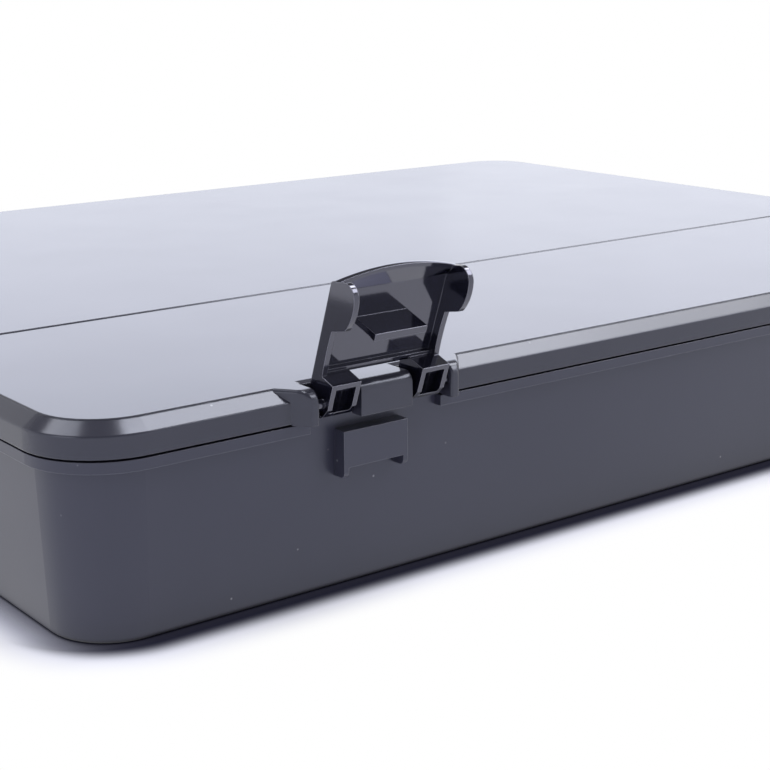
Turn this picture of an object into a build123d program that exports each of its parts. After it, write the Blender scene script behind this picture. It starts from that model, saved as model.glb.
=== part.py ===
from build123d import *
from math import sqrt
import os

os.makedirs("parts", exist_ok=True)

# Case outline. The origin is the centre of the underside, X runs along the front, Y goes to the back.
case_length = 370.0
case_depth = 289.0
corner_radius = 19.5
front_y = -case_depth / 2
rear_y = case_depth / 2

# Clearances
seam_gap = 0.6
free_gap = 0.35
running_gap = 0.06
push_gap = 0.02
slot_gap = 0.15

# Tray
rim_z = 42.1
floor_thickness = 2.2
wall_thickness = 2.2
wall_inset_bottom = 3.7
wall_inset_top = 2.2
foot_radius = 1.5
band_height = 2.6
band_inset = 0.2

# Long walls and slots of the tray
front_channel = 92.6
middle_channel = 97.4
long_wall_thickness = 2.0
long_wall_z = 40.2
slot_pitch = 30.0
slot_count = 9
slot_rib_thickness = 1.2
slot_rib_proud = 1.6
slot_rib_z = 39.5

# Dividers
divider_thickness = 1.5
divider_count = 5
divider_slot_count = 2
divider_lid_gap = 0.7

# Lid
skirt_height = 4.9
skirt_thickness = 1.8
bevel_inset = 3.6
bevel_rise = 2.55
bevel_blend = 0.6
step_ledge = 0.25
step_height = 0.35
panel_thickness = 2.0
groove_width = 2.0
groove_depth = 0.6
locating_rib_thickness = 1.4
locating_rib_drop = 1.5
lid_rib_thickness = 1.6
skirt_z = rim_z + seam_gap
bevel_z = skirt_z + skirt_height
panel_edge_z = bevel_z + bevel_rise
lid_top_z = panel_edge_z + step_height
locating_rib_inset = wall_inset_top + wall_thickness + seam_gap * 2 / 3

# Latch seats in the lid, measured from the middle of the latch and the face of the skirt
latch_inset = 79.05
latch_x = case_length / 2 - latch_inset
notch_half = 18.8
notch_back = 4.5
notch_wall = 1.5
notch_side_wall = 2.0
notch_bevel = 0.5
notch_bevel_run = 1.6
cheek_front = -3.8
cheek_width = 2.25
cheek_spread = 5.7
cheek_nose_radius = 3.3
cheek_edge_radius = 1.0
cheek_inner_radius = 0.7
bar_half = 7.3
bar_front = -3.6
bar_nose_radius = 2.5
bar_wall = 1.5
seat_drop = 0.3

# Latch lever. Heights run from its pivot line to the free end, depths from the pivot line outwards.
pivot_y = -1.6
pivot_z = 46.5
lever_open_lean = 19.7
lever_half = 16.65
lever_face = 6.13
lever_plate = 1.6
lever_flange = 1.4
lever_edge_radius = 0.8
lever_side_height = 28.9
lever_crown_height = 31.3
lever_tip_radius = 2.4
lever_lip_depth = 1.25
lever_lip_run = 5.2
lever_rim = 0.9
plate_foot_height = 5.4

# Inner edge of the lever's flanges: heights and depths of the waist and of the lobe at the free end
waist_depth = 2.1
waist_bow = 0.25
lobe_bottom_height = 17.5
lobe_low = (-2.2, 20.0)
lobe_middle = (-3.5, 24.2)
lobe_high = (-3.2, 28.0)
lobe_crest = (-1.6, 29.9)
lobe_end = (0.8, 30.3)

# Legs of the lever
heel_height = 3.0
heel_bow = (4.9, -0.8)
leg_gap = 1.45
leg_top = 5.87
leg_bottom = -3.13
leg_toe = 2.0
leg_rim = -2.23
leg_chamfer_run = 1.32
leg_chamfer_rise = 2.6
leg_wall = 1.2
leg_pocket_depth = 4.4
trunnion_radius = 1.1
trunnion_reach = 1.4
trunnion_hole_depth = 1.75

# Hook of the lever and catch of the tray, both moved sideways by the same amount
hook_shift = -1.5
hook_width = 14.5
hook_outer_height = 18.6
hook_thickness = 1.5
hook_reach = 7.93
hook_barb = 0.25
hook_barb_run = 0.9
catch_gap = 0.6
catch_rib = 1.3
catch_front = -1.3
catch_plate = 1.2
catch_top_z = 38.8
catch_plate_z = 30.1
catch_rib_z = 27.6
catch_nose_radius = 1.6

# Rear hinges
hinge_inset = 79.0
hinge_x = case_length / 2 - hinge_inset
knuckle_count = 5
knuckle_length = 9.28
knuckle_gap = 0.4
knuckle_radius = 2.3
hinge_pin_radius = 1.0
hinge_end_wall = 0.9
hinge_pin_recess = 0.4
hinge_stand_off = 2.9
hinge_z = rim_z + seam_gap / 2
hinge_y = rear_y + hinge_stand_off
hinge_web_drop = 6.0
hinge_arm_rise = 3.4


def outline(inset, z):
    """Rounded rectangle of the case, drawn in by inset, at height z."""
    length = case_length - 2 * inset
    depth = case_depth - 2 * inset
    return Pos(0, 0, z) * RectangleRounded(length, depth, corner_radius - inset)


def slab(inset, z_low, z_high):
    return extrude(outline(inset, z_low), z_high - z_low)


def taper(inset_low, z_low, inset_high, z_high):
    return loft([outline(inset_low, z_low), outline(inset_high, z_high)], ruled=True)


def block(x_low, x_high, y_low, y_high, z_low, z_high):
    centre = Pos((x_low + x_high) / 2, (y_low + y_high) / 2, (z_low + z_high) / 2)
    return centre * Box(x_high - x_low, y_high - y_low, z_high - z_low)


def side_prism(profile, x_low, x_high):
    """Solid with a profile in Y and Z, from x_low to x_high."""
    return Pos(x_low, 0, 0) * extrude(Plane.YZ * profile, x_high - x_low)


def round_corner(face, corner, radius):
    """Face with the corner nearest to a point rounded."""
    vertex = face.vertices().sort_by_distance(Vector(*corner))[0]
    return fillet(vertex, radius)


def wall_inset(z):
    """Inset of the tray wall's outer face at height z."""
    return wall_inset_bottom + (wall_inset_top - wall_inset_bottom) * z / rim_z


# Places of the two long walls, from the middle of the case
long_wall_front_y = front_y + front_channel
long_wall_rear_y = long_wall_front_y + middle_channel
long_wall_places = [long_wall_front_y, long_wall_rear_y]
slot_places = [(i - (slot_count - 1) / 2) * slot_pitch for i in range(slot_count)]
latch_places = [-latch_x, latch_x]


# Tray
def slot_rib(face_low, face_high, side):
    """Rib on a wall whose face is at face_low on the floor and face_high at the rib's top."""
    root = wall_thickness / 2
    profile = make_face(
        Polyline(
            (face_low - side * root, floor_thickness),
            (face_low + side * slot_rib_proud, floor_thickness),
            (face_high + side * slot_rib_proud, slot_rib_z),
            (face_high - side * root, slot_rib_z),
            close=True,
        )
    )
    return side_prism(profile, -slot_rib_thickness / 2, slot_rib_thickness / 2)


def slot_ribs():
    """All slot ribs: a pair at every slot, on both faces of every channel."""
    low = wall_inset(floor_thickness) + wall_thickness
    high = wall_inset(slot_rib_z) + wall_thickness
    half = long_wall_thickness / 2 + slot_rib_proud
    thick = slot_rib_thickness / 2
    row = [slot_rib(front_y + low, front_y + high, 1), slot_rib(rear_y - low, rear_y - high, -1)]
    for y in long_wall_places:
        row.append(block(-thick, thick, y - half, y + half, floor_thickness, slot_rib_z))
    aside = divider_thickness / 2 + slot_gap + slot_rib_thickness / 2
    return [Pos(x + side * aside, 0, 0) * rib for x in slot_places for side in (-1, 1) for rib in row]


def tub_outside():
    """Outside form of the tray, with its rounded foot."""
    tub = taper(wall_inset_bottom, 0, wall_inset_top, rim_z)
    return fillet(tub.edges().filter_by_position(Axis.Z, -0.01, 0.01), foot_radius)


def catch(x):
    """Pocket on the front wall that the hook goes into from below."""
    wall_y = wall_inset(catch_rib_z) + wall_thickness / 2
    inner_half = hook_width / 2 + catch_gap
    outer_half = inner_half + catch_rib
    side = make_face(
        Polyline(
            (wall_y, catch_top_z),
            (catch_front, catch_top_z),
            (catch_front, catch_rib_z),
            (wall_y, catch_rib_z),
            close=True,
        )
    )
    side = round_corner(side, (catch_front, catch_rib_z), catch_nose_radius)
    body = side_prism(side, -outer_half, outer_half)
    plate_back = catch_front + catch_plate
    body -= block(-inner_half, inner_half, catch_front - 1, wall_y, catch_rib_z - 1, catch_plate_z)
    body -= block(-inner_half, inner_half, plate_back, wall_y, catch_rib_z, catch_top_z - catch_plate)
    return Pos(x + hook_shift, front_y, 0) * body - tub_outside()


def hinge_knuckle(index):
    """Knuckle of a hinge, counted from its inner end, along X through the hinge's axis."""
    start = -(knuckle_count * knuckle_length + (knuckle_count - 1) * knuckle_gap) / 2
    x_low = start + index * (knuckle_length + knuckle_gap)
    disc = Pos(hinge_y, hinge_z) * Circle(knuckle_radius)
    return x_low, side_prism(disc, x_low, x_low + knuckle_length)


def tray_knuckle(index):
    """Knuckle that hangs on a gusset below the tray's band."""
    x_low, knuckle = hinge_knuckle(index)
    top = rim_z - band_height / 4
    wall_y = rear_y - wall_inset_top - wall_thickness / 2
    gusset = make_face(
        Polyline(
            (wall_y, top),
            (hinge_y, top),
            (hinge_y, hinge_z - knuckle_radius),
            (hinge_y - knuckle_radius, hinge_z - knuckle_radius),
            (wall_y, hinge_z - knuckle_radius - hinge_web_drop),
            close=True,
        )
    )
    return knuckle + side_prism(gusset, x_low, x_low + knuckle_length)


def tray_hinges():
    """Tray halves of both hinges with their pin holes, closed at the inner end."""
    body = Part() + [tray_knuckle(i) for i in range(0, knuckle_count, 2)]
    half = (knuckle_count * knuckle_length + (knuckle_count - 1) * knuckle_gap) / 2
    hole = Pos(hinge_y, hinge_z) * Circle(hinge_pin_radius + push_gap)
    body -= side_prism(hole, -half + hinge_end_wall, half + 1)
    right = Pos(hinge_x, 0, 0) * body
    return [right, mirror(right, Plane.YZ)]


def rim_band():
    """Band around the top of the tray: the length between the latches, then the rest."""
    band = slab(band_inset, rim_z - band_height, rim_z) - tub_outside() - tray_hinges()
    for x in latch_places:
        band -= block(x - notch_half, x + notch_half, front_y - 1, front_y + 2 * wall_inset_top, 0, rim_z + 1)
    return sorted(band.solids(), key=lambda solid: solid.volume)


def base_tray():
    inside_low = wall_inset(floor_thickness) + wall_thickness
    inside_high = wall_inset_top + wall_thickness
    tub = tub_outside() + tray_hinges()
    tub -= taper(inside_low, floor_thickness, inside_high, rim_z)
    half_length = case_length / 2 - wall_inset_top - wall_thickness
    half_wall = long_wall_thickness / 2
    walls = [
        block(-half_length, half_length, y - half_wall, y + half_wall, floor_thickness / 2, long_wall_z)
        for y in long_wall_places
    ]
    return tub + walls + slot_ribs()


# Lid
def cheek():
    """Right cheek of a latch seat, from the middle of the latch and the face of the skirt."""
    low = skirt_z - seat_drop
    outer_front = notch_half + cheek_width
    outer_back = outer_front + cheek_spread * (notch_back - cheek_front) / (bevel_inset - cheek_front)
    plan = make_face(
        Polyline(
            (notch_half, cheek_front),
            (outer_front, cheek_front),
            (outer_back, notch_back),
            (notch_half, notch_back),
            close=True,
        )
    )
    side = make_face(
        Polyline(
            (cheek_front, low),
            (notch_back, low),
            (notch_back, lid_top_z),
            (cheek_front, lid_top_z),
            close=True,
        )
    )
    side = round_corner(side, (cheek_front, lid_top_z), cheek_nose_radius)
    body = extrude(Pos(0, 0, low) * plan, lid_top_z - low)
    body &= side_prism(side, 0, outer_back + 1)
    long_edges = [e for e in body.edges() if e.length > cheek_width + 0.5 and e.center().Z > low + 1]
    nose = [e for e in long_edges if e.center().Y < notch_back - 0.5]
    body = fillet([e for e in nose if e.center().X > notch_half + 0.5], cheek_edge_radius)
    long_edges = [e for e in body.edges() if abs(e.center().X - notch_half) < 0.01]
    long_edges = [e for e in long_edges if e.center().Z > low + 1 and e.center().Y < notch_back - 0.5]
    body = fillet(long_edges, cheek_inner_radius)
    return body - block(0, outer_back + 1, 0, notch_back + 1, low - 1, skirt_z)


def bar():
    """Tab between the two legs of the lever, hollow from below."""
    low = skirt_z - seat_drop
    side = make_face(
        Polyline(
            (bar_front, low),
            (notch_back, low),
            (notch_back, lid_top_z),
            (bar_front, lid_top_z),
            close=True,
        )
    )
    side = round_corner(side, (bar_front, lid_top_z), bar_nose_radius)
    body = side_prism(side, -bar_half, bar_half)
    return body - block(-bar_half - 1, bar_half + 1, 0, notch_back + 1, low - 1, skirt_z)


def seat_inner_walls():
    """Walls that close a latch seat on the inside of the lid."""
    top = lid_top_z - panel_thickness
    side_out = notch_half + notch_side_wall
    back = notch_back + notch_wall
    ring = block(-side_out, side_out, 0, back, skirt_z, top + 1)
    ring -= block(-side_out - 1, side_out + 1, -1, skirt_thickness / 2, skirt_z - 1, top + 2)
    return ring - block(-notch_half, notch_half, -1, notch_back, skirt_z - 1, top + 2)


def seat_cuts():
    """Spaces for the legs, the bar's hollow and the pivot holes of a latch seat."""
    low = skirt_z - seat_drop
    leg_space = block(bar_half, notch_half, cheek_front - 2, notch_back, low - 2, lid_top_z + 2)
    bevel = make_face(
        Polyline(
            (notch_back - 0.1, lid_top_z + 0.1),
            (notch_back + notch_bevel_run, lid_top_z + 0.1),
            (notch_back + notch_bevel_run, lid_top_z),
            (notch_back, lid_top_z - notch_bevel),
            (notch_back - 0.1, lid_top_z - notch_bevel),
            close=True,
        )
    )
    leg_space += side_prism(bevel, bar_half, notch_half)
    hole = Pos(pivot_y, pivot_z) * Circle(trunnion_radius + running_gap)
    leg_space += side_prism(hole, notch_half - 0.1, notch_half + trunnion_hole_depth)
    hollow_half = bar_half - bar_wall
    hollow_top = lid_top_z - panel_thickness
    hollow = block(-hollow_half, hollow_half, bar_front + bar_wall, notch_back, low - 1, hollow_top)
    return leg_space + mirror(leg_space, Plane.YZ) + hollow


def lid_knuckle(index):
    """Knuckle that hangs on an arm from the lid's rear skirt."""
    x_low, knuckle = hinge_knuckle(index)
    root = rear_y - skirt_thickness / 2
    low = skirt_z + 0.1
    arm = make_face(
        Polyline(
            (root, low),
            (hinge_y, low),
            (hinge_y, hinge_z + knuckle_radius),
            (rear_y, hinge_z + hinge_arm_rise),
            (root, hinge_z + hinge_arm_rise),
            close=True,
        )
    )
    hole = Pos(hinge_y, hinge_z) * Circle(hinge_pin_radius + running_gap)
    solid = knuckle + side_prism(arm, x_low, x_low + knuckle_length)
    return solid - side_prism(hole, x_low - 1, x_low + knuckle_length + 1)


def lid_shell():
    body = slab(0, skirt_z, bevel_z) + taper(0, bevel_z, bevel_inset, panel_edge_z)
    bend = body.edges().filter_by_position(Axis.Z, bevel_z - 0.01, bevel_z + 0.01)
    body = fillet(bend, bevel_blend)
    body += slab(bevel_inset + step_ledge, panel_edge_z - 0.1, lid_top_z)
    for x in latch_places:
        seat = cheek() + mirror(cheek(), Plane.YZ) + bar()
        body += Pos(x, front_y, 0) * seat
    slope = bevel_rise / bevel_inset
    bevel_angle_cos = 1 / sqrt(1 + slope * slope)
    shell_drop = skirt_thickness / bevel_angle_cos
    hollow_edge_z = bevel_z + slope * skirt_thickness - shell_drop
    hollow_top_z = lid_top_z - panel_thickness
    hollow_inset = (hollow_top_z - bevel_z + shell_drop) / slope
    body -= slab(skirt_thickness, skirt_z - 1, hollow_edge_z)
    body -= taper(skirt_thickness, hollow_edge_z, hollow_inset, hollow_top_z)
    rib_low = rim_z - locating_rib_drop
    rib_inner = locating_rib_inset + locating_rib_thickness
    rib_ring = slab(locating_rib_inset, rib_low, hollow_top_z + 0.1)
    body += rib_ring - slab(rib_inner, rib_low - 1, hollow_top_z + 1)
    half_length = case_length / 2 - rib_inner + 0.1
    half_rib = lid_rib_thickness / 2
    for y in long_wall_places:
        low = long_wall_z + seam_gap
        body += block(-half_length, half_length, y - half_rib, y + half_rib, low, hollow_top_z + 0.1)
    for x in latch_places:
        body += Pos(x, front_y, 0) * seat_inner_walls()
        bar_walls = block(-bar_half, bar_half, 0.5, notch_back + 0.1, skirt_z, hollow_top_z + 0.1)
        body += Pos(x, front_y, 0) * bar_walls
        body -= Pos(x, front_y, 0) * seat_cuts()
    groove_half = case_length / 2 - bevel_inset - step_ledge
    groove_y = long_wall_front_y
    groove_half_width = groove_width / 2
    groove = make_face(
        Polyline(
            (groove_y - groove_half_width, lid_top_z + 0.1),
            (groove_y - groove_half_width, lid_top_z),
            (groove_y - groove_half_width / 2, lid_top_z - groove_depth),
            (groove_y + groove_half_width / 2, lid_top_z - groove_depth),
            (groove_y + groove_half_width, lid_top_z),
            (groove_y + groove_half_width, lid_top_z + 0.1),
            close=True,
        )
    )
    body -= side_prism(groove, -groove_half, groove_half)
    for index in range(1, knuckle_count, 2):
        arm = Pos(hinge_x, 0, 0) * lid_knuckle(index)
        body += [arm, mirror(arm, Plane.YZ)]
    return body


# Latch lever, drawn upright: X along the pivot line, Y outwards, Z to the free end
def lever_side_profile():
    """Side view of a flange and of the leg below it."""
    waist_middle = (waist_depth + waist_bow, (leg_top + lobe_bottom_height) / 2)
    tip_start = (lever_face - lever_tip_radius, lever_side_height)
    tip_end = (lever_face, lever_side_height - lever_tip_radius)
    edges = Curve() + [
        ThreePointArc((waist_depth, leg_top), waist_middle, (waist_depth, lobe_bottom_height)),
        Line((waist_depth, lobe_bottom_height), lobe_low),
        ThreePointArc(lobe_low, lobe_middle, lobe_high),
        ThreePointArc(lobe_high, lobe_crest, lobe_end),
        Line(lobe_end, tip_start),
        RadiusArc(tip_start, tip_end, lever_tip_radius),
        Line(tip_end, (lever_face, heel_height)),
        ThreePointArc((lever_face, heel_height), heel_bow, (leg_toe, leg_bottom)),
    ]
    edges += Polyline(
        (leg_toe, leg_bottom),
        (leg_rim + leg_chamfer_run, leg_bottom),
        (leg_rim, leg_bottom + leg_chamfer_rise),
        (leg_rim, leg_top),
        (waist_depth, leg_top),
    )
    return make_face(edges)


def crown(height, inset):
    """Outline of the plate's free end, drawn in by inset, down to a height."""
    half = lever_half - inset
    side = lever_side_height - inset
    low = Polyline((-half, side), (-half, height), (half, height), (half, side))
    return make_face(low + ThreePointArc((half, side), (0, lever_crown_height - inset), (-half, side)))


def lever_plate_solid():
    """Plate with its crowned free end, the raised rim around the crown and the lip at its foot."""
    inner = lever_face - lever_plate
    lip = inner - lever_lip_depth
    foot_lip_top = plate_foot_height + lever_lip_depth
    lip_start = lever_crown_height - lever_lip_run
    body = block(-lever_half, lever_half, inner, lever_face, plate_foot_height, lever_crown_height)
    body += block(-lever_half, lever_half, lip, inner, lip_start, lever_crown_height)
    body += block(-lever_half, lever_half, lip, inner, plate_foot_height, foot_lip_top)
    body &= Pos(0, lever_face + 1, 0) * extrude(Plane.XZ * crown(0, 0), 2 * lever_face)
    tip = [e for e in body.edges() if e.center().Z > lever_side_height and e.center().Y > lever_face - 0.01]
    body = fillet(tip, lever_tip_radius)
    half = lever_half - lever_rim
    corners = [(-half, foot_lip_top), (half, foot_lip_top), (half, lip_start), (-half, lip_start)]
    floor = Plane.XZ.offset(-inner) * make_face(Polyline(*corners, close=True))
    mouth = Plane.XZ.offset(-lip) * crown(foot_lip_top, lever_rim)
    return body - loft([floor, mouth], ruled=True)


def hook():
    """Hook plate on the inside of the lever, with a barb along its tip."""
    root = lever_face - lever_plate / 2
    tip = lever_face - lever_plate - hook_reach
    low = hook_outer_height - hook_thickness
    profile = make_face(
        Polyline(
            (root, hook_outer_height),
            (tip, hook_outer_height),
            (tip, low - hook_barb),
            (tip + hook_barb_run, low - hook_barb),
            (tip + 2 * hook_barb_run, low),
            (root, low),
            close=True,
        )
    )
    return Pos(hook_shift, 0, 0) * side_prism(profile, -hook_width / 2, hook_width / 2)


def latch_lever():
    leg_inner = bar_half + leg_gap
    side = side_prism(lever_side_profile(), lever_half - lever_flange, lever_half)
    leg = side_prism(lever_side_profile(), leg_inner, lever_half)
    side += leg & block(leg_inner, lever_half, -lever_face, lever_face + 1, leg_bottom - 1, leg_top)
    pocket = block(
        leg_inner + leg_wall,
        lever_half - leg_wall,
        leg_rim - 1,
        leg_rim + leg_pocket_depth,
        leg_bottom + leg_wall,
        leg_top - leg_wall,
    )
    body = lever_plate_solid() + side + mirror(side, Plane.YZ)
    reach = lever_crown_height - leg_bottom + 2
    envelope = Pos(0, 0, leg_bottom - 1) * RectangleRounded(2 * lever_half, 2 * lever_face, lever_edge_radius)
    body &= extrude(envelope, reach)
    body -= [pocket, mirror(pocket, Plane.YZ)]
    trunnion = side_prism(Circle(trunnion_radius), lever_half - 0.1, notch_half + trunnion_reach)
    return body + hook() + trunnion + mirror(trunnion, Plane.YZ)


def placed_lever(x):
    return Pos(x, front_y + pivot_y, pivot_z) * Rot(lever_open_lean, 0, 0) * latch_lever()


# Hinge pins and dividers
def hinge_pin():
    half = (knuckle_count * knuckle_length + (knuckle_count - 1) * knuckle_gap) / 2
    end = half - hinge_pin_recess
    start = -half + hinge_end_wall + free_gap
    disc = Pos(hinge_y, hinge_z) * Circle(hinge_pin_radius)
    return side_prism(disc, start, end)


def divider(low_ends, high_ends, top_ends):
    """Divider across a channel, with its ends at the floor, at the walls' top and below the lid."""
    top_z = lid_top_z - panel_thickness - divider_lid_gap
    board = make_face(
        Polyline(
            (low_ends[0], floor_thickness),
            (low_ends[1], floor_thickness),
            (high_ends[1], long_wall_z),
            (top_ends[1], long_wall_z),
            (top_ends[1], top_z),
            (top_ends[0], top_z),
            (top_ends[0], long_wall_z),
            (high_ends[0], long_wall_z),
            close=True,
        )
    )
    return side_prism(board, -divider_thickness / 2, divider_thickness / 2)


def channel_ends():
    """Ends of the dividers in the three channels, at the floor, at the walls' top and below the lid."""
    low = wall_inset(floor_thickness) + wall_thickness + slot_gap
    high = wall_inset(long_wall_z) + wall_thickness + slot_gap
    top = locating_rib_inset + locating_rib_thickness + divider_lid_gap
    half = long_wall_thickness / 2 + slot_gap
    half_top = long_wall_thickness / 2 + divider_lid_gap
    front, rear = long_wall_places
    levels = [(low, half), (high, half), (top, half_top)]
    return {
        "front": [(front_y + edge, front - inner) for edge, inner in levels],
        "middle": [(front + inner, rear - inner) for edge, inner in levels],
        "rear": [(rear + inner, rear_y - edge) for edge, inner in levels],
    }


def dividers():
    solids = {}
    first = (slot_count - 1 - (divider_count - 1) * divider_slot_count) // 2
    for channel, ends in channel_ends().items():
        board = divider(*ends)
        for i in range(divider_count):
            x = slot_places[first + i * divider_slot_count]
            solids[f"divider_{channel}_{i + 1}"] = Pos(x, 0, 0) * board
    return solids


rim_front, rim_around = rim_band()
nodes = {
    "base_tray": base_tray(),
    "tray_rim_front": rim_front,
    "tray_rim_around": rim_around,
    "catch_left": catch(-latch_x),
    "catch_right": catch(latch_x),
    "lid_shell": lid_shell(),
    "latch_lever_left": placed_lever(-latch_x),
    "latch_lever_right": placed_lever(latch_x),
    "hinge_pin_left": mirror(Pos(hinge_x, 0, 0) * hinge_pin(), Plane.YZ),
    "hinge_pin_right": Pos(hinge_x, 0, 0) * hinge_pin(),
}
nodes.update(dividers())
for name, solid in nodes.items():
    export_step(solid, f"parts/{name}.step")
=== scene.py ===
import math

import bpy
from mathutils import Matrix, Vector


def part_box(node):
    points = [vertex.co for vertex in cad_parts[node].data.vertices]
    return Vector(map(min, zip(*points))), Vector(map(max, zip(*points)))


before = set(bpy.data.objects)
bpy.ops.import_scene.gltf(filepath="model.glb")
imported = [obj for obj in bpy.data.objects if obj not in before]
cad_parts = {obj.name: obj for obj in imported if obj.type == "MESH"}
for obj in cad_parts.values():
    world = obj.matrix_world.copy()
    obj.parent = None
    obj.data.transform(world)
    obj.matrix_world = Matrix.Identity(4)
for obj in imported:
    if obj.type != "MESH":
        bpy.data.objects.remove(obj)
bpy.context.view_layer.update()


# Materials
def plastic(name, dark, light, rough_low, rough_high, grain, specks, edge_mm, ior, edge_scuff_and_highlight, tint):
    """Black moulded plastic: cloudy colour, uneven gloss, fine skin, convex edges painted lighter as highlight
    lines that also stand for scuffs, and a little dust.
    """
    mat = bpy.data.materials.new(name)
    mat.use_nodes = True
    nodes, links = mat.node_tree.nodes, mat.node_tree.links
    shader = nodes["Principled BSDF"]
    shader.inputs["IOR"].default_value = ior
    shader.inputs["Specular Tint"].default_value = (*tint, 1)
    where = nodes.new("ShaderNodeTexCoord")

    cloud = nodes.new("ShaderNodeTexNoise")
    cloud.inputs["Scale"].default_value = 14.0
    cloud.inputs["Detail"].default_value = 4.0
    links.new(where.outputs["Object"], cloud.inputs["Vector"])
    tone = nodes.new("ShaderNodeValToRGB")
    tone.color_ramp.elements[0].position = 0.35
    tone.color_ramp.elements[0].color = (*dark, 1)
    tone.color_ramp.elements[1].position = 0.68
    tone.color_ramp.elements[1].color = (*light, 1)
    links.new(cloud.outputs["Fac"], tone.inputs["Fac"])

    dust = nodes.new("ShaderNodeTexVoronoi")
    dust.inputs["Scale"].default_value = 190.0
    links.new(where.outputs["Object"], dust.inputs["Vector"])
    patch = nodes.new("ShaderNodeTexNoise")
    patch.inputs["Scale"].default_value = 55.0
    links.new(where.outputs["Object"], patch.inputs["Vector"])
    speck = nodes.new("ShaderNodeMapRange")
    speck.inputs["From Min"].default_value = 0.07
    speck.inputs["From Max"].default_value = 0.03
    links.new(dust.outputs["Distance"], speck.inputs["Value"])
    sparse = nodes.new("ShaderNodeMapRange")
    sparse.inputs["From Min"].default_value = 0.57
    sparse.inputs["From Max"].default_value = 0.64
    sparse.inputs["To Max"].default_value = specks
    links.new(patch.outputs["Fac"], sparse.inputs["Value"])
    amount = nodes.new("ShaderNodeMath")
    amount.operation = "MULTIPLY"
    links.new(speck.outputs["Result"], amount.inputs[0])
    links.new(sparse.outputs["Result"], amount.inputs[1])
    mix = nodes.new("ShaderNodeMix")
    mix.data_type = "RGBA"
    mix.inputs["B"].default_value = (0.30, 0.30, 0.32, 1)
    links.new(amount.outputs["Value"], mix.inputs["Factor"])
    links.new(tone.outputs["Color"], mix.inputs["A"])

    haze = nodes.new("ShaderNodeTexNoise")
    haze.inputs["Scale"].default_value = 32.0
    haze.inputs["Detail"].default_value = 6.0
    links.new(where.outputs["Object"], haze.inputs["Vector"])
    gloss = nodes.new("ShaderNodeMapRange")
    gloss.inputs["From Min"].default_value = 0.3
    gloss.inputs["From Max"].default_value = 0.7
    gloss.inputs["To Min"].default_value = rough_low
    gloss.inputs["To Max"].default_value = rough_high
    links.new(haze.outputs["Fac"], gloss.inputs["Value"])
    links.new(gloss.outputs["Result"], shader.inputs["Roughness"])

    edge = nodes.new("ShaderNodeBevel")
    edge.samples = 6
    edge.inputs["Radius"].default_value = edge_mm / 1000
    flat = nodes.new("ShaderNodeNewGeometry")
    turn = nodes.new("ShaderNodeVectorMath")
    turn.operation = "DOT_PRODUCT"
    links.new(edge.outputs["Normal"], turn.inputs[0])
    links.new(flat.outputs["Normal"], turn.inputs[1])
    # Mask of convex edges from the bevelled normal: there the colour is painted lighter, a painted edge
    # highlight that also stands for scuffing.
    edge_scuff_and_highlight_mask = nodes.new("ShaderNodeMapRange")
    edge_scuff_and_highlight_mask.inputs["From Min"].default_value = 0.97
    edge_scuff_and_highlight_mask.inputs["From Max"].default_value = 0.80
    edge_scuff_and_highlight_mask.inputs["To Max"].default_value = edge_scuff_and_highlight
    links.new(turn.outputs["Value"], edge_scuff_and_highlight_mask.inputs["Value"])
    open_air = nodes.new("ShaderNodeAmbientOcclusion")
    open_air.samples = 4
    open_air.inputs["Distance"].default_value = 0.0015
    outer = nodes.new("ShaderNodeMapRange")
    outer.inputs["From Min"].default_value = 0.70
    outer.inputs["From Max"].default_value = 0.95
    links.new(open_air.outputs["AO"], outer.inputs["Value"])
    convex_scuff_and_highlight = nodes.new("ShaderNodeMath")
    convex_scuff_and_highlight.operation = "MULTIPLY"
    links.new(edge_scuff_and_highlight_mask.outputs["Result"], convex_scuff_and_highlight.inputs[0])
    links.new(outer.outputs["Result"], convex_scuff_and_highlight.inputs[1])
    # Painted edge highlight: the lighter colour mixed in along convex edges, also standing for scuffs.
    scuffed_and_highlit_edges = nodes.new("ShaderNodeMix")
    scuffed_and_highlit_edges.data_type = "RGBA"
    scuffed_and_highlit_edges.inputs["B"].default_value = (0.22, 0.22, 0.25, 1)
    links.new(convex_scuff_and_highlight.outputs["Value"], scuffed_and_highlit_edges.inputs["Factor"])
    links.new(mix.outputs["Result"], scuffed_and_highlit_edges.inputs["A"])
    links.new(scuffed_and_highlit_edges.outputs["Result"], shader.inputs["Base Color"])
    skin = nodes.new("ShaderNodeTexNoise")
    skin.inputs["Scale"].default_value = 1400.0
    skin.inputs["Detail"].default_value = 2.0
    links.new(where.outputs["Object"], skin.inputs["Vector"])
    bump = nodes.new("ShaderNodeBump")
    bump.inputs["Strength"].default_value = grain
    bump.inputs["Distance"].default_value = 0.0002
    links.new(skin.outputs["Fac"], bump.inputs["Height"])
    links.new(edge.outputs["Normal"], bump.inputs["Normal"])
    links.new(bump.outputs["Normal"], shader.inputs["Normal"])
    return mat


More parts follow.
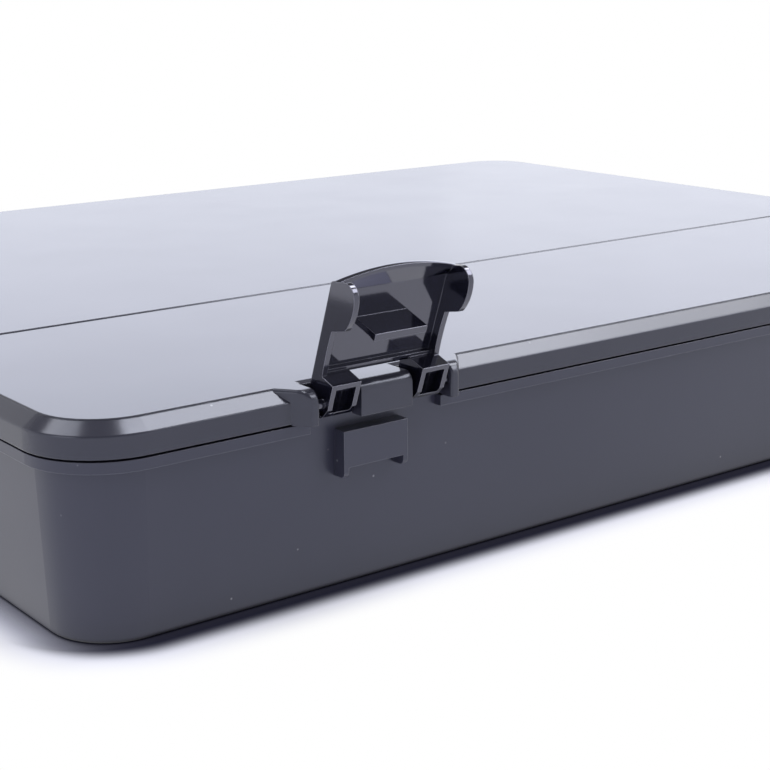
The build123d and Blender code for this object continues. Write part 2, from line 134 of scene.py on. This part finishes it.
def wire_steel():
    """Drawn steel wire with fine lines along its length."""
    mat = bpy.data.materials.new("wire_steel")
    mat.use_nodes = True
    nodes, links = mat.node_tree.nodes, mat.node_tree.links
    shader = nodes["Principled BSDF"]
    shader.inputs["Metallic"].default_value = 1.0
    where = nodes.new("ShaderNodeTexCoord")
    stretch = nodes.new("ShaderNodeMapping")
    stretch.inputs["Scale"].default_value = (60, 2600, 2600)
    links.new(where.outputs["Object"], stretch.inputs["Vector"])
    lines = nodes.new("ShaderNodeTexNoise")
    lines.inputs["Scale"].default_value = 1.0
    links.new(stretch.outputs["Vector"], lines.inputs["Vector"])
    tone = nodes.new("ShaderNodeValToRGB")
    tone.color_ramp.elements[0].color = (0.42, 0.42, 0.43, 1)
    tone.color_ramp.elements[1].color = (0.62, 0.62, 0.63, 1)
    links.new(lines.outputs["Fac"], tone.inputs["Fac"])
    links.new(tone.outputs["Color"], shader.inputs["Base Color"])
    gloss = nodes.new("ShaderNodeMapRange")
    gloss.inputs["To Min"].default_value = 0.22
    gloss.inputs["To Max"].default_value = 0.42
    links.new(lines.outputs["Fac"], gloss.inputs["Value"])
    links.new(gloss.outputs["Result"], shader.inputs["Roughness"])
    return mat


cool = (0.80, 0.84, 1.0)
violet = (0.78, 0.79, 1.0)
# Each material's next-to-last number sets how strongly convex edges are painted lighter as highlight lines and
# scuffs.
lid_plastic = plastic(
    "lid_plastic", (0.029, 0.029, 0.042), (0.035, 0.035, 0.049), 0.18, 0.20, 0.02, 0.4, 0.35, 1.58, 0.2, cool
)
tray_plastic = plastic(
    "tray_plastic", (0.030, 0.030, 0.048), (0.036, 0.036, 0.055), 0.28, 0.34, 0.04, 1.0, 0.30, 1.60, 0.6, cool
)
lever_plastic = plastic(
    "lever_plastic", (0.004, 0.004, 0.008), (0.006, 0.006, 0.011), 0.07, 0.10, 0.02, 0.4, 0.30, 2.05, 0.8, violet
)
divider_plastic = plastic(
    "divider_plastic", (0.026, 0.026, 0.034), (0.038, 0.038, 0.047), 0.42, 0.55, 0.10, 0.3, 0.15, 1.5, 0.1, cool
)
steel = wire_steel()

for name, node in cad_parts.items():
    if name.startswith("divider"):
        mat = divider_plastic
    elif name.startswith("hinge_pin"):
        mat = steel
    elif name.startswith("latch_lever"):
        mat = lever_plastic
    elif name == "lid_shell":
        mat = lid_plastic
    else:
        mat = tray_plastic
    for slot in node.material_slots:
        slot.material = mat


# Floor: it takes the cast shadow close by, carries painted contact shade at the box's foot, and fades to the
# white of the backdrop further out
def larger(nodes, links, first, second):
    """The larger of two values."""
    node = nodes.new("ShaderNodeMath")
    node.operation = "MAXIMUM"
    links.new(first, node.inputs[0])
    links.new(second, node.inputs[1])
    return node.outputs["Value"]


def product(nodes, links, first, second):
    """Two values multiplied."""
    node = nodes.new("ShaderNodeMath")
    node.operation = "MULTIPLY"
    links.new(first, node.inputs[0])
    links.new(second, node.inputs[1])
    return node.outputs["Value"]


def ramp(nodes, links, value, start, end, low=0.0, high=1.0):
    """Smooth step of a value from start to end, mapped to low and high."""
    node = nodes.new("ShaderNodeMapRange")
    node.interpolation_type = "SMOOTHSTEP"
    node.inputs["From Min"].default_value = start
    node.inputs["From Max"].default_value = end
    node.inputs["To Min"].default_value = low
    node.inputs["To Max"].default_value = high
    links.new(value, node.inputs["Value"])
    return node.outputs["Result"]


def pale_floor():
    """White floor: painted contact shade round the box's foot with a painted dark contact line along its front
    side, the cast shadow close to the box, and plain white further out.
    """
    low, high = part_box("base_tray")
    corner = 0.0195
    mat = bpy.data.materials.new("pale_floor")
    mat.use_nodes = True
    nodes, links = mat.node_tree.nodes, mat.node_tree.links
    shader = nodes["Principled BSDF"]
    shader.inputs["Roughness"].default_value = 0.9
    shader.inputs["Specular IOR Level"].default_value = 0.1
    where = nodes.new("ShaderNodeTexCoord")
    soft = nodes.new("ShaderNodeTexNoise")
    soft.inputs["Scale"].default_value = 3.0
    links.new(where.outputs["Object"], soft.inputs["Vector"])
    tone = nodes.new("ShaderNodeValToRGB")
    tone.color_ramp.elements[0].color = (0.82, 0.83, 0.96, 1)
    tone.color_ramp.elements[1].color = (0.84, 0.85, 0.98, 1)
    links.new(soft.outputs["Fac"], tone.inputs["Fac"])

    # Painted contact shade: ambient occlusion squared darkens the floor colour towards a dark blue round the
    # box's foot.
    contact = nodes.new("ShaderNodeAmbientOcclusion")
    contact.samples = 8
    contact.inputs["Distance"].default_value = 0.010
    painted_contact_shade = nodes.new("ShaderNodeMath")
    painted_contact_shade.operation = "POWER"
    painted_contact_shade.inputs[1].default_value = 2.0
    links.new(contact.outputs["AO"], painted_contact_shade.inputs[0])
    shade = nodes.new("ShaderNodeMix")
    shade.data_type = "RGBA"
    shade.inputs["A"].default_value = (0.02, 0.02, 0.04, 1)
    links.new(tone.outputs["Color"], shade.inputs["B"])
    links.new(shade.outputs["Result"], shader.inputs["Base Color"])

    middle = nodes.new("ShaderNodeVectorMath")
    middle.operation = "SUBTRACT"
    middle.inputs[1].default_value = (low + high) / 2
    links.new(where.outputs["Object"], middle.inputs[0])
    quarter = nodes.new("ShaderNodeVectorMath")
    quarter.operation = "ABSOLUTE"
    links.new(middle.outputs["Vector"], quarter.inputs[0])
    beyond = nodes.new("ShaderNodeVectorMath")
    beyond.operation = "SUBTRACT"
    beyond.inputs[1].default_value = [span / 2 - corner for span in high - low]
    links.new(quarter.outputs["Vector"], beyond.inputs[0])
    outside = nodes.new("ShaderNodeVectorMath")
    outside.operation = "MAXIMUM"
    links.new(beyond.outputs["Vector"], outside.inputs[0])
    flat = nodes.new("ShaderNodeVectorMath")
    flat.operation = "MULTIPLY"
    flat.inputs[1].default_value = (1, 1, 0)
    links.new(outside.outputs["Vector"], flat.inputs[0])
    length = nodes.new("ShaderNodeVectorMath")
    length.operation = "LENGTH"
    links.new(flat.outputs["Vector"], length.inputs[0])
    reach = nodes.new("ShaderNodeMath")
    reach.operation = "SUBTRACT"
    reach.inputs[1].default_value = corner
    links.new(length.outputs["Value"], reach.inputs[0])
    place = nodes.new("ShaderNodeSeparateXYZ")
    links.new(middle.outputs["Vector"], place.inputs["Vector"])
    # Painted contact line: a further dark band within 8 mm of the foot, on the front side only; behind the front
    # edge it is lifted.
    front_edge = (low - high).y / 2
    behind = ramp(nodes, links, place.outputs["Y"], front_edge - 0.002, front_edge + 0.022)
    painted_contact_line = ramp(nodes, links, reach.outputs["Value"], 0.0006, 0.0080)
    painted_contact_line = larger(nodes, links, painted_contact_line, behind)
    links.new(product(nodes, links, painted_contact_shade.outputs["Value"], painted_contact_line), shade.inputs["Factor"])
    rays = nodes.new("ShaderNodeLightPath")
    mirrored = larger(nodes, links, rays.outputs["Is Glossy Ray"], rays.outputs["Is Transmission Ray"])
    seen_white = ramp(nodes, links, reach.outputs["Value"], 0.002, 0.018)
    mirrored_white = ramp(nodes, links, reach.outputs["Value"], -0.0025, 0.0010)
    seen_part = product(nodes, links, seen_white, rays.outputs["Is Camera Ray"])
    mirrored_part = product(nodes, links, mirrored_white, mirrored)
    backdrop = nodes.new("ShaderNodeEmission")
    blend = nodes.new("ShaderNodeMixShader")
    links.new(larger(nodes, links, seen_part, mirrored_part), blend.inputs["Fac"])
    links.new(shader.outputs["BSDF"], blend.inputs[1])
    links.new(backdrop.outputs["Emission"], blend.inputs[2])
    links.new(blend.outputs["Shader"], nodes["Material Output"].inputs["Surface"])
    return mat


floor_mesh = bpy.data.meshes.new("floor")
far = 30.0
floor_mesh.from_pydata([(-far, -far, 0), (far, -far, 0), (far, far, 0), (-far, far, 0)], [], [(0, 1, 2, 3)])
floor = bpy.data.objects.new("floor", floor_mesh)
bpy.context.collection.objects.link(floor)
floor_mesh.materials.append(pale_floor())

# World: soft light, most from the back left, white to the camera and in reflections, where the ceiling is dim
scene = bpy.context.scene
world = bpy.data.worlds.new("studio")
scene.world = world
world.use_nodes = True
nodes, links = world.node_tree.nodes, world.node_tree.links
nodes.clear()
ambient = nodes.new("ShaderNodeBackground")
ambient.inputs["Color"].default_value = (0.95, 0.96, 1.0, 1)
where = nodes.new("ShaderNodeTexCoord")
facing = nodes.new("ShaderNodeVectorMath")
facing.operation = "DOT_PRODUCT"
facing.inputs[1].default_value = Vector((-0.75, 0.4, 0.55)).normalized()
links.new(where.outputs["Generated"], facing.inputs[0])
links.new(ramp(nodes, links, facing.outputs["Value"], 0.0, 0.95, 0.2, 1.1), ambient.inputs["Strength"])
height = nodes.new("ShaderNodeSeparateXYZ")
links.new(where.outputs["Generated"], height.inputs["Vector"])
ceiling = ramp(nodes, links, height.outputs["Z"], 0.32, 0.65, 1.0, 0.2)
rays = nodes.new("ShaderNodeLightPath")
camera_ray = rays.outputs["Is Camera Ray"]
white = nodes.new("ShaderNodeBackground")
white.inputs["Color"].default_value = (1, 1, 1, 1)
links.new(larger(nodes, links, ceiling, camera_ray), white.inputs["Strength"])
mirrored = larger(nodes, links, rays.outputs["Is Glossy Ray"], rays.outputs["Is Transmission Ray"])
choose = nodes.new("ShaderNodeMixShader")
links.new(larger(nodes, links, camera_ray, mirrored), choose.inputs["Fac"])
links.new(ambient.outputs["Background"], choose.inputs[1])
links.new(white.outputs["Background"], choose.inputs[2])
out = nodes.new("ShaderNodeOutputWorld")
links.new(choose.outputs["Shader"], out.inputs["Surface"])


def softbox(name, azimuth, elevation, distance, across, upright, radiance, tint=(1, 1, 1)):
    """Lamp that shines at the box from a direction in degrees, with its spread in degrees each way."""
    lamp = bpy.data.lights.new(name, "AREA")
    lamp.shape = "RECTANGLE"
    lamp.size = 2 * distance * math.tan(math.radians(across / 2))
    lamp.size_y = 2 * distance * math.tan(math.radians(upright / 2))
    lamp.energy = radiance * math.pi * lamp.size * lamp.size_y
    lamp.color = tint
    obj = bpy.data.objects.new(name, lamp)
    bpy.context.collection.objects.link(obj)
    turn, rise = math.radians(azimuth), math.radians(elevation)
    away = Vector((math.cos(turn) * math.cos(rise), math.sin(turn) * math.cos(rise), math.sin(rise)))
    obj.location = Vector((0, 0, 0.03)) + away * distance
    obj.rotation_euler = (-away).to_track_quat("-Z", "Y").to_euler()
    return obj


softbox("side_high", 1, 69, 2.2, 16, 28, 8.6)
softbox("side_middle", 1, 51.5, 2.3, 15, 7, 7.6)
softbox("side_low", 1, 43, 2.4, 14, 10, 5.0)
softbox("front_high", -33, 43, 2.4, 28, 20, 6.0)
softbox("front_bar", -41, 24, 2.4, 11, 14, 5.0)
softbox("back_low", 52, 17, 3.0, 70, 26, 0.82, (0.72, 0.78, 1.0))
softbox("back_middle", 54, 21, 2.9, 52, 19, 0.30, (0.70, 0.75, 1.0))
softbox("back_right", 36, 15, 2.8, 28, 22, 0.10)
softbox("back_left", 120, 61, 2.4, 20, 24, 4.0)
softbox("left", 187, 33, 2.6, 26, 20, 1.6)

# Camera at the photograph's viewing angle
yaw, pitch, roll = math.radians(37.2918), math.radians(14.785), math.radians(-0.4512)
forward = Vector((math.sin(yaw) * math.cos(pitch), math.cos(yaw) * math.cos(pitch), -math.sin(pitch)))
side = Vector((math.cos(yaw), -math.sin(yaw), 0))
up = side.cross(forward)
cam_x = side * math.cos(roll) + up * math.sin(roll)
cam_y = up * math.cos(roll) - side * math.sin(roll)
camera_data = bpy.data.cameras.new("camera")
camera_data.sensor_width = 36.0
camera_data.lens = 76.266
camera_data.clip_start = 0.01
camera = bpy.data.objects.new("camera", camera_data)
bpy.context.collection.objects.link(camera)
place = Matrix((cam_x, cam_y, -forward)).transposed().to_4x4()
place.translation = Vector((-0.32332, -0.43265, 0.14303))
camera.matrix_world = place
scene.camera = camera
scene.view_settings.view_transform = "Standard"
